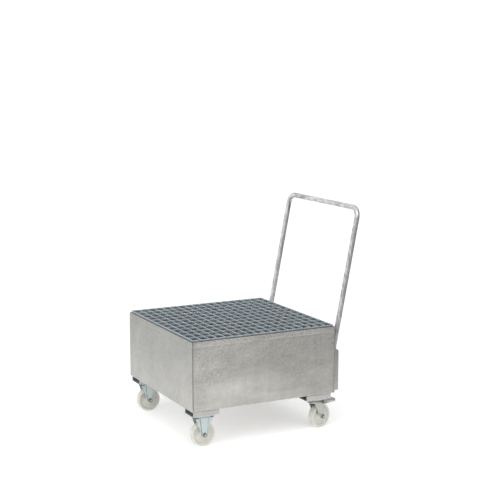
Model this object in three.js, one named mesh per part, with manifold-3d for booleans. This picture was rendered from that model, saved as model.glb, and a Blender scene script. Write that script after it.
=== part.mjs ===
// Mobile spill sump for one drum: a galvanised sheet tray with a lift-out grating, two fixed and two
// braked swivel castors under it, and a plug-in push handle.
//
// Frame: millimetres, +Z up. The origin is on the floor below the middle of the whole object.
// +X points to the handle end, and the fixed castors are at the -X end. "Left" is the -Y side.

import * as THREE from 'three';
import { mergeVertices } from 'three/addons/utils/BufferGeometryUtils.js';
import Module from 'manifold-3d';

const wasm = await Module();
wasm.setup();

// ---------------------------------------------------------------- driving dimensions

const GAP = 0.3;

// Tray
const TRAY_LENGTH = 816;
const TRAY_WIDTH = 816;
const TRAY_HEIGHT = 353;
const SHEET = 3;
const TRAY_BOTTOM = 193.5;

// Grating and the angles that carry it
const GRATING_HEIGHT = 30;
const GRATING_PROUD = 10;
const CELLS_X = 18;
const CELLS_Y = 12;
const CELL_PITCH_X = 44.25;
const CELL_PITCH_Y = 66.375;
const BEARING_BAR = 3;
const CROSS_BAR = 3;
const LEDGE_LEG = 30;

// Handle: a round tube bent to a U, its legs plugged into two square sockets
const TUBE_RADIUS = 13.45;
const TUBE_WALL = 2.6;
const TUBE_SIDES = 12;
const HANDLE_LEG_INSET = 45;
const HANDLE_TOP_REACH = 160.6;
const HANDLE_TOP_HEIGHT = 956.4;
const HANDLE_KNEE_HEIGHT = 240;
const HANDLE_KNEE_RADIUS = 90;
const HANDLE_CORNER_RADIUS = 52;
const HANDLE_BEND_STEPS = 5;
const SOCKET_SIZE = 40;
const SOCKET_WALL = 4;
const SOCKET_BASE = 6;
const SOCKET_LENGTH = 212;

// Castor brackets: U-channels welded under the tray corners
const BRACKET_LENGTH = 144;
const BRACKET_WIDTH = 100;
const BRACKET_HEIGHT = 30;
const FIXED_INSET_X = 80;
const SWIVEL_INSET_X = 90;
const CASTOR_INSET_Y = 58;

// Castors
const WHEEL_RADIUS = 62.5;
const WHEEL_WIDTH = 37;
const WHEEL_SIDES = 24;
const HUB_LENGTH = 42;
const HUB_RADIUS = 19;
const RIM_DEPTH = 11;
const WEB_HALF_WIDTH = 10;
const TREAD_SHOULDER = 4;
const WHEEL_BORE = 10.6;
const SLEEVE_RADIUS = 10;
const AXLE_RADIUS = 6;
const HOLE_PLAY = 0.4;
const NUT_ACROSS_FLATS = 19;
const NUT_HEIGHT = 8;
const BOLT_HEAD_HEIGHT = 7.5;
const THREAD_PROUD = 3;
const FORK_INSIDE = 44;
const FORK_SHEET = 3.5;
const FORK_END_RADIUS = 16;
const FIXED_LEG_HALF_WIDTH = 46;
const RIB_HALF_WIDTH = 21;
const RIB_END_RADIUS = 12;
const RIB_DEPTH = 3;
const PLATE_LENGTH = 105;
const PLATE_WIDTH = 85;
const PLATE_THICKNESS = 4;
const PLATE_HOLE_SPACING_X = 80;
const PLATE_HOLE_SPACING_Y = 60;
const PLATE_HOLE_RADIUS = 5.5;
const SWIVEL_TRAIL = 38;
const SWIVEL_LEG_FRONT = -14;
const SWIVEL_LEG_BACK = 50;
// The two swivel castors rest turned towards each other by this angle.
const SWIVEL_REST_YAW = THREE.MathUtils.degToRad(14);
const RACE_HEIGHT = 10;
const RACE_INNER = 20;
const RACE_OUTER = 33;
const RACE_WAIST = 3;
const CROWN_THICKNESS = 4;
const KINGPIN_HEAD_RADIUS = 11;
const KINGPIN_HEAD_HEIGHT = 3.5;
const KINGPIN_SHANK_RADIUS = 6;

// Brake: a pedal hinged on a pin through the fork, with a shoe that presses on the tread
const BRAKE_PIN_X = 42;
const BRAKE_PIN_DROP = 27;
const BRAKE_PIN_RADIUS = 4;
const TREAD_START_X = 54;
const TREAD_FALL = 5.5;
const PEDAL_TIP_X = 134;
const PEDAL_HALF_WIDTH = 28.7;
const PEDAL_SHEET = 2.5;
const SHOE_FRONT_X = 58;
const SHOE_BACK_X = 78;
const SHOE_CLEARANCE = 7.5;
const SPRING_FRONT_X = 14;
const SPRING_BACK_X = 41;
const SPRING_BEND_X = 30;
const SPRING_DROP = 2.5;
const SPRING_THICKNESS = 1.5;
const SPRING_HALF_WIDTH = 12;

// Facets of round pieces, and how far a cutting tool or a joined piece runs past a face
const SMALL_SIDES = 12;
const ROUND_SIDES = 16;
const RACE_SIDES = 24;
const ARC_SEGMENTS = 6;
const OVERRUN = 1;

// ---------------------------------------------------------------- derived places

const OVERALL_LENGTH = TRAY_LENGTH + HANDLE_TOP_REACH + TUBE_RADIUS;
const TRAY_X_MIN = -OVERALL_LENGTH / 2;
const TRAY_X_MAX = TRAY_X_MIN + TRAY_LENGTH;
const TRAY_X_MIDDLE = (TRAY_X_MIN + TRAY_X_MAX) / 2;
const RIM = TRAY_BOTTOM + TRAY_HEIGHT;
const GRATING_BOTTOM = RIM + GRATING_PROUD - GRATING_HEIGHT;
const LEDGE_TOP = GRATING_BOTTOM - GAP;
const PLATE_TOP = TRAY_BOTTOM - BRACKET_HEIGHT - GAP;
const AXLE_DROP = PLATE_TOP - WHEEL_RADIUS;
const CASTOR_Y = TRAY_WIDTH / 2 - CASTOR_INSET_Y;
const HANDLE_LEG_X = TRAY_X_MAX + GAP + SOCKET_SIZE / 2;
const HANDLE_LEG_Y = TRAY_WIDTH / 2 - HANDLE_LEG_INSET;
const CROWN_TOP = -(PLATE_THICKNESS + RACE_HEIGHT);
const CROWN_BOTTOM = CROWN_TOP - CROWN_THICKNESS;
const FORK_OUTSIDE = FORK_INSIDE + 2 * FORK_SHEET;

// ---------------------------------------------------------------- materials

const FINISHES = {
  galvanised: { color: 0xb9b8b2, roughness: 0.5, metalness: 0.75 },
  grating: { color: 0x97a2ab, roughness: 0.5, metalness: 0.75 },
  tube: { color: 0xc8c8c4, roughness: 0.35, metalness: 0.85 },
  zinc: { color: 0xbccdd1, roughness: 0.35, metalness: 0.85 },
  nylon: { color: 0xdfddd0, roughness: 0.45, metalness: 0 },
  steel: { color: 0x8a9294, roughness: 0.35, metalness: 0.9 },
  shoe: { color: 0x55585a, roughness: 0.7, metalness: 0.1 },
};

function finish(name) {
  return new THREE.MeshStandardMaterial(FINISHES[name]);
}

// ---------------------------------------------------------------- solid helpers

function toSolid(geometry) {
  const bare = geometry.clone();
  bare.deleteAttribute('normal');
  bare.deleteAttribute('uv');
  const merged = mergeVertices(bare, 1e-4);
  const mesh = new wasm.Mesh({
    numProp: 3,
    vertProperties: new Float32Array(merged.attributes.position.array),
    triVerts: new Uint32Array(merged.index.array),
  });
  return new wasm.Manifold(mesh);
}

function toGeometry(solid) {
  const mesh = solid.getMesh();
  const geometry = new THREE.BufferGeometry();
  geometry.setAttribute('position', new THREE.BufferAttribute(mesh.vertProperties, 3));
  geometry.setIndex(new THREE.BufferAttribute(mesh.triVerts, 1));
  geometry.computeVertexNormals();
  return geometry;
}

function join(...geometries) {
  const solids = geometries.map(toSolid);
  return toGeometry(solids.reduce((whole, piece) => whole.add(piece)));
}

function cut(base, ...tools) {
  const solids = tools.map(toSolid);
  return toGeometry(solids.reduce((left, tool) => left.subtract(tool), toSolid(base)));
}

function box(low, high) {
  const size = high.map((value, i) => value - low[i]);
  const middle = high.map((value, i) => (value + low[i]) / 2);
  return new THREE.BoxGeometry(...size).translate(...middle);
}

function shapeOf(points) {
  return new THREE.Shape(points.map(([x, y]) => new THREE.Vector2(x, y)));
}

// Extrudes an outline drawn in (x, z) along Y, from y = low to y = high.
function extrudeAlongY(shape, low, high) {
  const geometry = new THREE.ExtrudeGeometry(shape, {
    depth: high - low,
    bevelEnabled: false,
    curveSegments: ARC_SEGMENTS,
  });
  return geometry.rotateX(Math.PI / 2).translate(0, high, 0);
}

// Extrudes an outline drawn in (y, z) along X, from x = low to x = high.
function extrudeAlongX(shape, low, high) {
  const geometry = new THREE.ExtrudeGeometry(shape, { depth: high - low, bevelEnabled: false });
  return geometry.rotateX(Math.PI / 2).rotateZ(Math.PI / 2).translate(low, 0, 0);
}

function cylinderAlongY(radius, low, high, sides = ROUND_SIDES) {
  const geometry = new THREE.CylinderGeometry(radius, radius, high - low, sides);
  return geometry.translate(0, (low + high) / 2, 0);
}

function cylinderAlongZ(radius, low, high, sides = ROUND_SIDES) {
  const geometry = new THREE.CylinderGeometry(radius, radius, high - low, sides);
  return geometry.rotateX(Math.PI / 2).translate(0, 0, (low + high) / 2);
}

function hexagonAlongY(acrossFlats, low, high) {
  return cylinderAlongY(acrossFlats / Math.sqrt(3), low, high, 6);
}

// Revolves [radius, height] points about Y; the list closes on itself unless it starts on the axis.
function lathe(profile, sides) {
  const points = profile.map(([radius, height]) => new THREE.Vector2(radius, height));
  if (profile[0][0] > 0) {
    points.push(points[0].clone());
  }
  return new THREE.LatheGeometry(points, sides);
}

function latheAlongZ(profile, sides) {
  return lathe(profile, sides).rotateX(Math.PI / 2);
}

const dolly = new THREE.Group();

function add(parent, name, geometry, finishName) {
  const mesh = new THREE.Mesh(geometry, finish(finishName));
  mesh.name = name;
  parent.add(mesh);
  return mesh;
}

// ---------------------------------------------------------------- tray

// The floor and both long walls are one folded sheet; the end walls close it.
function sumpShell() {
  const half = TRAY_WIDTH / 2;
  const inner = half - SHEET;
  const floor = TRAY_BOTTOM + SHEET;
  const section = shapeOf([
    [-half, TRAY_BOTTOM],
    [half, TRAY_BOTTOM],
    [half, RIM],
    [inner, RIM],
    [inner, floor],
    [-inner, floor],
    [-inner, RIM],
    [-half, RIM],
  ]);
  return extrudeAlongX(section, TRAY_X_MIN + SHEET + GAP, TRAY_X_MAX - SHEET - GAP);
}

function endWall(outerX, inward) {
  const innerX = outerX + inward * SHEET;
  const low = [Math.min(outerX, innerX), -TRAY_WIDTH / 2, TRAY_BOTTOM];
  const high = [Math.max(outerX, innerX), TRAY_WIDTH / 2, RIM];
  return box(low, high);
}

// An angle section with its flat leg on top, the vertical leg against the wall.
function ledgeSection() {
  return shapeOf([
    [0, 0],
    [0, -LEDGE_LEG],
    [SHEET, -LEDGE_LEG],
    [SHEET, -SHEET],
    [LEDGE_LEG, -SHEET],
    [LEDGE_LEG, 0],
  ]);
}

function ledge(length) {
  return extrudeAlongX(ledgeSection(), -length / 2, length / 2);
}

function addTray() {
  add(dolly, 'sump_shell', sumpShell(), 'galvanised');
  add(dolly, 'end_wall_front', endWall(TRAY_X_MIN, 1), 'galvanised');
  add(dolly, 'end_wall_rear', endWall(TRAY_X_MAX, -1), 'galvanised');

  const sideLength = TRAY_LENGTH - 2 * (SHEET + 2 * GAP);
  const endLength = TRAY_WIDTH - 2 * (SHEET + LEDGE_LEG + 2 * GAP);
  const sideY = TRAY_WIDTH / 2 - SHEET - GAP;
  const endX = TRAY_LENGTH / 2 - SHEET - GAP;
  const places = [
    ['grating_ledge_left', sideLength, 0, -sideY, 0],
    ['grating_ledge_right', sideLength, 0, sideY, Math.PI],
    ['grating_ledge_front', endLength, -endX, 0, -Math.PI / 2],
    ['grating_ledge_rear', endLength, endX, 0, Math.PI / 2],
  ];
  for (const [name, length, x, y, turn] of places) {
    const mesh = add(dolly, name, ledge(length), 'galvanised');
    mesh.position.set(TRAY_X_MIDDLE + x, y, LEDGE_TOP);
    mesh.rotation.z = turn;
  }
}

// ---------------------------------------------------------------- grating

// The grid lines on both sides of every bar, for bars of one thickness at one pitch from 0.
function barLines(cells, pitch, thickness) {
  const lines = [];
  for (let i = 0; i <= cells; i += 1) {
    lines.push(i * pitch, i * pitch + thickness);
  }
  return lines;
}

// Bearing bars along Y and cross bars along X, welded into one flat lattice of even height.
function grating() {
  const xs = barLines(CELLS_X, CELL_PITCH_X, BEARING_BAR);
  const ys = barLines(CELLS_Y, CELL_PITCH_Y, CROSS_BAR);
  const middleX = xs[xs.length - 1] / 2;
  const middleY = ys[ys.length - 1] / 2;
  const corner = (i, j, z) => [xs[i] - middleX, ys[j] - middleY, z];
  const isInside = (i, j) => i >= 0 && j >= 0 && i < xs.length - 1 && j < ys.length - 1;
  const isBar = (i, j) => isInside(i, j) && (i % 2 === 0 || j % 2 === 0);
  const positions = [];
  const quad = (a, b, c, d) => positions.push(...a, ...b, ...c, ...a, ...c, ...d);
  const side = (from, to) => quad(
    corner(...from, 0),
    corner(...to, 0),
    corner(...to, GRATING_HEIGHT),
    corner(...from, GRATING_HEIGHT),
  );
  for (let i = 0; i < xs.length - 1; i += 1) {
    for (let j = 0; j < ys.length - 1; j += 1) {
      if (!isBar(i, j)) {
        continue;
      }
      const [a, b, c, d] = [[i, j], [i + 1, j], [i + 1, j + 1], [i, j + 1]];
      quad(...[a, b, c, d].map((place) => corner(...place, GRATING_HEIGHT)));
      quad(...[a, d, c, b].map((place) => corner(...place, 0)));
      const edges = [
        [isBar(i, j - 1), a, b],
        [isBar(i + 1, j), b, c],
        [isBar(i, j + 1), c, d],
        [isBar(i - 1, j), d, a],
      ];
      for (const [hasNeighbour, from, to] of edges) {
        if (!hasNeighbour) {
          side(from, to);
        }
      }
    }
  }
  const geometry = new THREE.BufferGeometry();
  geometry.setAttribute('position', new THREE.Float32BufferAttribute(positions, 3));
  geometry.computeVertexNormals();
  return geometry;
}

function addGrating() {
  const mesh = add(dolly, 'grating', grating(), 'grating');
  mesh.position.set(TRAY_X_MIDDLE, 0, GRATING_BOTTOM);
}

// ---------------------------------------------------------------- handle

// A curve that passes through a list of stations at equal parameter steps.
class StationCurve extends THREE.Curve {
  constructor(stations) {
    super();
    this.stations = stations;
  }

  getPoint(t, target = new THREE.Vector3()) {
    const place = t * (this.stations.length - 1);
    const index = Math.min(Math.floor(place), this.stations.length - 2);
    return target.lerpVectors(this.stations[index], this.stations[index + 1], place - index);
  }

  getPointAt(u, target) {
    return this.getPoint(u, target);
  }

  getTangentAt(u, target) {
    return this.getTangent(u, target);
  }
}

// The stations of a polyline whose inner corners are rounded by arcs of the given radii.
function roundedStations(corners, radii, stepsPerArc) {
  const stations = [corners[0]];
  for (let i = 1; i < corners.length - 1; i += 1) {
    const before = corners[i - 1].clone().sub(corners[i]).normalize();
    const after = corners[i + 1].clone().sub(corners[i]).normalize();
    const halfAngle = before.angleTo(after) / 2;
    const radius = radii[i - 1];
    const centre = before.clone().add(after).normalize().multiplyScalar(radius / Math.sin(halfAngle));
    centre.add(corners[i]);
    const start = corners[i].clone().addScaledVector(before, radius / Math.tan(halfAngle)).sub(centre);
    const end = corners[i].clone().addScaledVector(after, radius / Math.tan(halfAngle)).sub(centre);
    const turn = new THREE.Quaternion();
    turn.setFromUnitVectors(start.clone().normalize(), end.clone().normalize());
    for (let step = 0; step <= stepsPerArc; step += 1) {
      const part = new THREE.Quaternion().slerp(turn, step / stepsPerArc);
      stations.push(start.clone().applyQuaternion(part).add(centre));
    }
  }
  stations.push(corners[corners.length - 1]);
  return stations;
}

function handle() {
  const bottom = TRAY_BOTTOM + SOCKET_BASE + SOCKET_WALL + GAP;
  const knee = TRAY_BOTTOM + HANDLE_KNEE_HEIGHT;
  const top = TRAY_BOTTOM + HANDLE_TOP_HEIGHT;
  const topX = TRAY_X_MAX + HANDLE_TOP_REACH;
  const corners = [
    [HANDLE_LEG_X, -HANDLE_LEG_Y, bottom],
    [HANDLE_LEG_X, -HANDLE_LEG_Y, knee],
    [topX, -HANDLE_LEG_Y, top],
    [topX, HANDLE_LEG_Y, top],
    [HANDLE_LEG_X, HANDLE_LEG_Y, knee],
    [HANDLE_LEG_X, HANDLE_LEG_Y, bottom],
  ].map(([x, y, z]) => new THREE.Vector3(x, y, z));
  const radii = [HANDLE_KNEE_RADIUS, HANDLE_CORNER_RADIUS, HANDLE_CORNER_RADIUS, HANDLE_KNEE_RADIUS];
  const stations = roundedStations(corners, radii, HANDLE_BEND_STEPS);
  const ring = new THREE.Shape(circlePoints(TUBE_RADIUS));
  ring.holes.push(new THREE.Path(circlePoints(TUBE_RADIUS - TUBE_WALL).reverse()));
  return new THREE.ExtrudeGeometry(ring, {
    steps: stations.length - 1,
    extrudePath: new StationCurve(stations),
  });
}

function circlePoints(radius) {
  return Array.from({ length: TUBE_SIDES }, (_, i) => {
    const angle = (2 * Math.PI * i) / TUBE_SIDES;
    return new THREE.Vector2(radius * Math.cos(angle), radius * Math.sin(angle));
  });
}

// A square tube with a closed foot, welded to the rear wall.
function socket() {
  const half = SOCKET_SIZE / 2;
  const inner = half - SOCKET_WALL;
  const outside = box([-half, -half, 0], [half, half, SOCKET_LENGTH]);
  const bore = box([-inner, -inner, SOCKET_WALL], [inner, inner, SOCKET_LENGTH + OVERRUN]);
  return cut(outside, bore);
}

function addHandle() {
  add(dolly, 'push_handle', handle(), 'tube');
  for (const [side, sign] of [['left', -1], ['right', 1]]) {
    const mesh = add(dolly, `handle_socket_${side}`, socket(), 'galvanised');
    mesh.position.set(HANDLE_LEG_X, sign * HANDLE_LEG_Y, TRAY_BOTTOM + SOCKET_BASE);
  }
}

// ---------------------------------------------------------------- castor parts

// Castor parts are drawn about the middle of the mounting plate's top face, trailing towards +X.

function bracket() {
  const half = BRACKET_WIDTH / 2;
  const inner = half - SHEET;
  const section = shapeOf([
    [-half, 0],
    [half, 0],
    [half, BRACKET_HEIGHT - GAP],
    [inner, BRACKET_HEIGHT - GAP],
    [inner, SHEET],
    [-inner, SHEET],
    [-inner, BRACKET_HEIGHT - GAP],
    [-half, BRACKET_HEIGHT - GAP],
  ]);
  const channel = extrudeAlongX(section, -BRACKET_LENGTH / 2, BRACKET_LENGTH / 2);
  return cut(channel, ...plateHoles(-OVERRUN, SHEET + OVERRUN));
}

function plateHoles(low, high) {
  const holes = [];
  for (const x of [-PLATE_HOLE_SPACING_X / 2, PLATE_HOLE_SPACING_X / 2]) {
    for (const y of [-PLATE_HOLE_SPACING_Y / 2, PLATE_HOLE_SPACING_Y / 2]) {
      holes.push(cylinderAlongZ(PLATE_HOLE_RADIUS, low, high, SMALL_SIDES).translate(x, y, 0));
    }
  }
  return holes;
}

function mountingPlate() {
  const halfLength = PLATE_LENGTH / 2;
  const halfWidth = PLATE_WIDTH / 2;
  return box([-halfLength, -halfWidth, -PLATE_THICKNESS], [halfLength, halfWidth, 0]);
}

// One fork leg: two straight edges running from the shoulder to a round end about the axle.
function legOutline(frontX, backX, topZ, axleX, endRadius) {
  const shape = new THREE.Shape();
  shape.moveTo(frontX, topZ);
  shape.lineTo(axleX - endRadius, -AXLE_DROP);
  shape.absarc(axleX, -AXLE_DROP, endRadius, Math.PI, 2 * Math.PI, false);
  shape.lineTo(backX, topZ);
  return shape;
}

function axleHole(axleX) {
  const reach = FORK_OUTSIDE;
  return cylinderAlongY(AXLE_RADIUS + HOLE_PLAY, -reach, reach).translate(axleX, 0, -AXLE_DROP);
}

function forkLegs(outline) {
  const inner = FORK_INSIDE / 2;
  const outer = FORK_OUTSIDE / 2;
  return [extrudeAlongY(outline, inner, outer), extrudeAlongY(outline, -outer, -inner)];
}

// Plate and legs pressed from one sheet; each leg is stiffened by a rib that stands out from it.
function fixedFork() {
  const shoulder = FIXED_LEG_HALF_WIDTH;
  const top = -PLATE_THICKNESS / 2;
  const leg = legOutline(-shoulder, shoulder, top, 0, FORK_END_RADIUS);
  const rib = legOutline(-RIB_HALF_WIDTH, RIB_HALF_WIDTH, top, 0, RIB_END_RADIUS);
  const outer = FORK_OUTSIDE / 2;
  const ribs = [
    extrudeAlongY(rib, outer - OVERRUN, outer + RIB_DEPTH),
    extrudeAlongY(rib, -outer - RIB_DEPTH, -outer + OVERRUN),
  ];
  const body = join(mountingPlate(), ...forkLegs(leg), ...ribs);
  return cut(body, axleHole(0), ...plateHoles(-PLATE_THICKNESS - OVERRUN, OVERRUN));
}

function wheel() {
  const half = WHEEL_WIDTH / 2;
  const hub = HUB_LENGTH / 2;
  const rimInner = WHEEL_RADIUS - RIM_DEPTH;
  return lathe([
    [WHEEL_BORE, -hub],
    [HUB_RADIUS, -hub],
    [HUB_RADIUS, -WEB_HALF_WIDTH],
    [rimInner, -WEB_HALF_WIDTH],
    [rimInner, -half],
    [WHEEL_RADIUS - TREAD_SHOULDER, -half],
    [WHEEL_RADIUS, -half + TREAD_SHOULDER],
    [WHEEL_RADIUS, half - TREAD_SHOULDER],
    [WHEEL_RADIUS - TREAD_SHOULDER, half],
    [rimInner, half],
    [rimInner, WEB_HALF_WIDTH],
    [HUB_RADIUS, WEB_HALF_WIDTH],
    [HUB_RADIUS, hub],
    [WHEEL_BORE, hub],
  ], WHEEL_SIDES);
}

function sleeve() {
  const half = FORK_INSIDE / 2 - GAP;
  const bore = AXLE_RADIUS + HOLE_PLAY;
  return lathe([
    [bore, -half],
    [SLEEVE_RADIUS, -half],
    [SLEEVE_RADIUS, half],
    [bore, half],
  ], ROUND_SIDES);
}

// The bolt head and the nut bear on the legs' outer faces, at this distance from the middle.
function axleBolt(bearing) {
  const end = -bearing - NUT_HEIGHT - THREAD_PROUD;
  const seat = bearing + GAP;
  const shank = cylinderAlongY(AXLE_RADIUS, end, seat + OVERRUN);
  const head = hexagonAlongY(NUT_ACROSS_FLATS, seat, seat + BOLT_HEAD_HEIGHT);
  return join(shank, head);
}

function axleNut(bearing) {
  const blank = hexagonAlongY(NUT_ACROSS_FLATS, -bearing - GAP - NUT_HEIGHT, -bearing - GAP);
  const reach = bearing + 2 * NUT_HEIGHT;
  return cut(blank, cylinderAlongY(AXLE_RADIUS + HOLE_PLAY, -reach, 0));
}

function addWheelSet(parent, prefix, side, axleX, bearing) {
  const set = new THREE.Group();
  set.position.set(axleX, 0, -AXLE_DROP);
  parent.add(set);
  add(set, `${prefix}_wheel_${side}`, wheel(), 'nylon');
  add(set, `${prefix}_wheel_sleeve_${side}`, sleeve(), 'steel');
  add(set, `${prefix}_axle_bolt_${side}`, axleBolt(bearing), 'steel');
  add(set, `${prefix}_axle_nut_${side}`, axleNut(bearing), 'steel');
}

function addBracket(name, x, y) {
  const mesh = add(dolly, name, bracket(), 'galvanised');
  mesh.position.set(x, y, TRAY_BOTTOM - BRACKET_HEIGHT);
}

function addFixedCastor(side, sign) {
  const x = TRAY_X_MIN + FIXED_INSET_X;
  const y = sign * CASTOR_Y;
  addBracket(`castor_bracket_front_${side}`, x, y);
  const castor = new THREE.Group();
  castor.position.set(x, y, PLATE_TOP);
  dolly.add(castor);
  add(castor, `fixed_fork_${side}`, fixedFork(), 'zinc');
  addWheelSet(castor, 'fixed', side, 0, FORK_OUTSIDE / 2 + RIB_DEPTH);
}

// ---------------------------------------------------------------- swivel castor

// A rivet with two heads: the upper one sunk in the plate, the lower one under the fork crown.
function kingpin() {
  const headTop = CROWN_BOTTOM - GAP;
  const headBottom = headTop - KINGPIN_HEAD_HEIGHT;
  return latheAlongZ([
    [0, headBottom],
    [KINGPIN_HEAD_RADIUS - 2, headBottom],
    [KINGPIN_HEAD_RADIUS, headTop],
    [KINGPIN_SHANK_RADIUS, headTop],
    [KINGPIN_SHANK_RADIUS, -PLATE_THICKNESS],
    [KINGPIN_HEAD_RADIUS - 1, -GAP],
    [0, -GAP],
  ], ROUND_SIDES);
}

function swivelPlate() {
  const hole = KINGPIN_SHANK_RADIUS + 1;
  const sink = latheAlongZ([
    [0, -PLATE_THICKNESS - OVERRUN],
    [hole, -PLATE_THICKNESS - OVERRUN],
    [hole, -PLATE_THICKNESS],
    [KINGPIN_HEAD_RADIUS, 0],
    [KINGPIN_HEAD_RADIUS, OVERRUN],
    [0, OVERRUN],
  ], ROUND_SIDES);
  return cut(mountingPlate(), sink, ...plateHoles(-PLATE_THICKNESS - OVERRUN, OVERRUN));
}

function race() {
  const top = -PLATE_THICKNESS - GAP;
  const bottom = CROWN_TOP + GAP;
  return latheAlongZ([
    [RACE_INNER, bottom],
    [RACE_OUTER - RACE_WAIST, bottom],
    [RACE_OUTER, (top + bottom) / 2],
    [RACE_OUTER - RACE_WAIST / 2, top],
    [RACE_INNER, top],
  ], RACE_SIDES);
}

function crownShape() {
  const half = FORK_OUTSIDE / 2;
  const shape = new THREE.Shape();
  shape.moveTo(SWIVEL_LEG_BACK, -half);
  shape.lineTo(SWIVEL_LEG_BACK, half);
  shape.lineTo(0, half);
  shape.absarc(0, 0, half, Math.PI / 2, 1.5 * Math.PI, false);
  return shape;
}

function swivelFork() {
  const crown = new THREE.ExtrudeGeometry(crownShape(), {
    depth: CROWN_THICKNESS,
    bevelEnabled: false,
    curveSegments: ARC_SEGMENTS,
  });
  crown.translate(0, 0, CROWN_BOTTOM);
  const legTop = CROWN_BOTTOM + OVERRUN;
  const leg = legOutline(SWIVEL_LEG_FRONT, SWIVEL_LEG_BACK, legTop, SWIVEL_TRAIL, FORK_END_RADIUS);
  const body = join(crown, ...forkLegs(leg));
  const kingpinHole = cylinderAlongZ(
    KINGPIN_SHANK_RADIUS + 1,
    CROWN_BOTTOM - OVERRUN,
    CROWN_TOP + OVERRUN,
  );
  return cut(body, axleHole(SWIVEL_TRAIL), brakePinHole(), kingpinHole);
}

function brakePinHole() {
  const radius = BRAKE_PIN_RADIUS + HOLE_PLAY;
  const hole = cylinderAlongY(radius, -FORK_OUTSIDE, FORK_OUTSIDE, SMALL_SIDES);
  return hole.translate(BRAKE_PIN_X, 0, -BRAKE_PIN_DROP);
}

// A channel: a tread plate that slopes down to its tip, and side cheeks that hang on the brake pin.
function brakePedal() {
  const treadTop = CROWN_BOTTOM + 0.5;
  const tipTop = treadTop - TREAD_FALL;
  const cheekInner = FORK_OUTSIDE / 2 + 2 * GAP;
  const tread = shapeOf([
    [TREAD_START_X, treadTop],
    [TREAD_START_X, treadTop - PEDAL_SHEET],
    [PEDAL_TIP_X - 4, tipTop - PEDAL_SHEET],
    [PEDAL_TIP_X, tipTop - 5],
    [PEDAL_TIP_X, tipTop - 2],
    [PEDAL_TIP_X - 3, tipTop],
  ]);
  const cheek = shapeOf([
    [BRAKE_PIN_X - 8, -BRAKE_PIN_DROP - 4],
    [BRAKE_PIN_X + 6, -BRAKE_PIN_DROP - 9],
    [BRAKE_PIN_X + 20, -BRAKE_PIN_DROP - 8],
    [PEDAL_TIP_X - 20, tipTop - 2],
    [TREAD_START_X, treadTop - 0.5],
    [BRAKE_PIN_X - 8, -BRAKE_PIN_DROP + 6],
  ]);
  const body = join(
    extrudeAlongY(tread, -PEDAL_HALF_WIDTH, PEDAL_HALF_WIDTH),
    extrudeAlongY(cheek, cheekInner, PEDAL_HALF_WIDTH),
    extrudeAlongY(cheek, -PEDAL_HALF_WIDTH, -cheekInner),
  );
  return cut(body, brakePinHole());
}

function brakePin() {
  const half = PEDAL_HALF_WIDTH + 2;
  const pin = cylinderAlongY(BRAKE_PIN_RADIUS, -half, half, SMALL_SIDES);
  return pin.translate(BRAKE_PIN_X, 0, -BRAKE_PIN_DROP);
}

// The shoe hangs under the tread plate, its lower face an arc around the wheel.
function brakeShoe() {
  const top = CROWN_BOTTOM - PEDAL_SHEET - 2;
  const radius = WHEEL_RADIUS + SHOE_CLEARANCE;
  const startAngle = Math.acos((SHOE_BACK_X - SWIVEL_TRAIL) / radius);
  const endAngle = Math.acos((SHOE_FRONT_X - SWIVEL_TRAIL) / radius);
  const shape = new THREE.Shape();
  shape.moveTo(SHOE_FRONT_X, top);
  shape.lineTo(SHOE_BACK_X, top - 1);
  shape.absarc(SWIVEL_TRAIL, -AXLE_DROP, radius, startAngle, endAngle, false);
  const half = WHEEL_WIDTH / 2 - TREAD_SHOULDER;
  return extrudeAlongY(shape, -half, half);
}

// A leaf clamped under the crown that keeps the pedal in either position.
function brakeSpring() {
  const top = CROWN_BOTTOM - GAP;
  const bottom = top - SPRING_THICKNESS;
  const shape = shapeOf([
    [SPRING_FRONT_X, top],
    [SPRING_FRONT_X, bottom],
    [SPRING_BEND_X, bottom],
    [SPRING_BACK_X, bottom - SPRING_DROP],
    [SPRING_BACK_X, top - SPRING_DROP],
    [SPRING_BEND_X, top],
  ]);
  return extrudeAlongY(shape, -SPRING_HALF_WIDTH, SPRING_HALF_WIDTH);
}

function addSwivelCastor(side, sign) {
  const x = TRAY_X_MAX - SWIVEL_INSET_X;
  const y = sign * CASTOR_Y;
  addBracket(`castor_bracket_rear_${side}`, x, y);
  const castor = new THREE.Group();
  castor.position.set(x, y, PLATE_TOP);
  dolly.add(castor);
  add(castor, `swivel_plate_${side}`, swivelPlate(), 'zinc');
  add(castor, `swivel_race_${side}`, race(), 'zinc');
  add(castor, `swivel_kingpin_${side}`, kingpin(), 'steel');

  const head = new THREE.Group();
  head.rotation.z = -sign * SWIVEL_REST_YAW;
  castor.add(head);
  add(head, `swivel_fork_${side}`, swivelFork(), 'zinc');
  addWheelSet(head, 'swivel', side, SWIVEL_TRAIL, FORK_OUTSIDE / 2);
  add(head, `brake_pedal_${side}`, brakePedal(), 'zinc');
  add(head, `brake_pin_${side}`, brakePin(), 'steel');
  add(head, `brake_shoe_${side}`, brakeShoe(), 'shoe');
  add(head, `brake_spring_${side}`, brakeSpring(), 'steel');
}

// ---------------------------------------------------------------- assembly

addTray();
addGrating();
addHandle();
for (const [side, sign] of [['left', -1], ['right', 1]]) {
  addFixedCastor(side, sign);
  addSwivelCastor(side, sign);
}

export default dolly;
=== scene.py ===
"""Looks for the mobile spill sump: a galvanised tray with a grating, four castors and a push handle.

Lengths are millimetres in the shape functions and metres in the scene. Places come from the CAD
frame. Castor pieces are drawn about the middle of the mounting plate's top face, trailing to +X.
"""

import random
from itertools import product
from math import atan2, ceil, copysign, cos, exp, pi, radians, sin, sqrt, tan

import bmesh
import bpy
from mathutils import Matrix, Vector, noise


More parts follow.
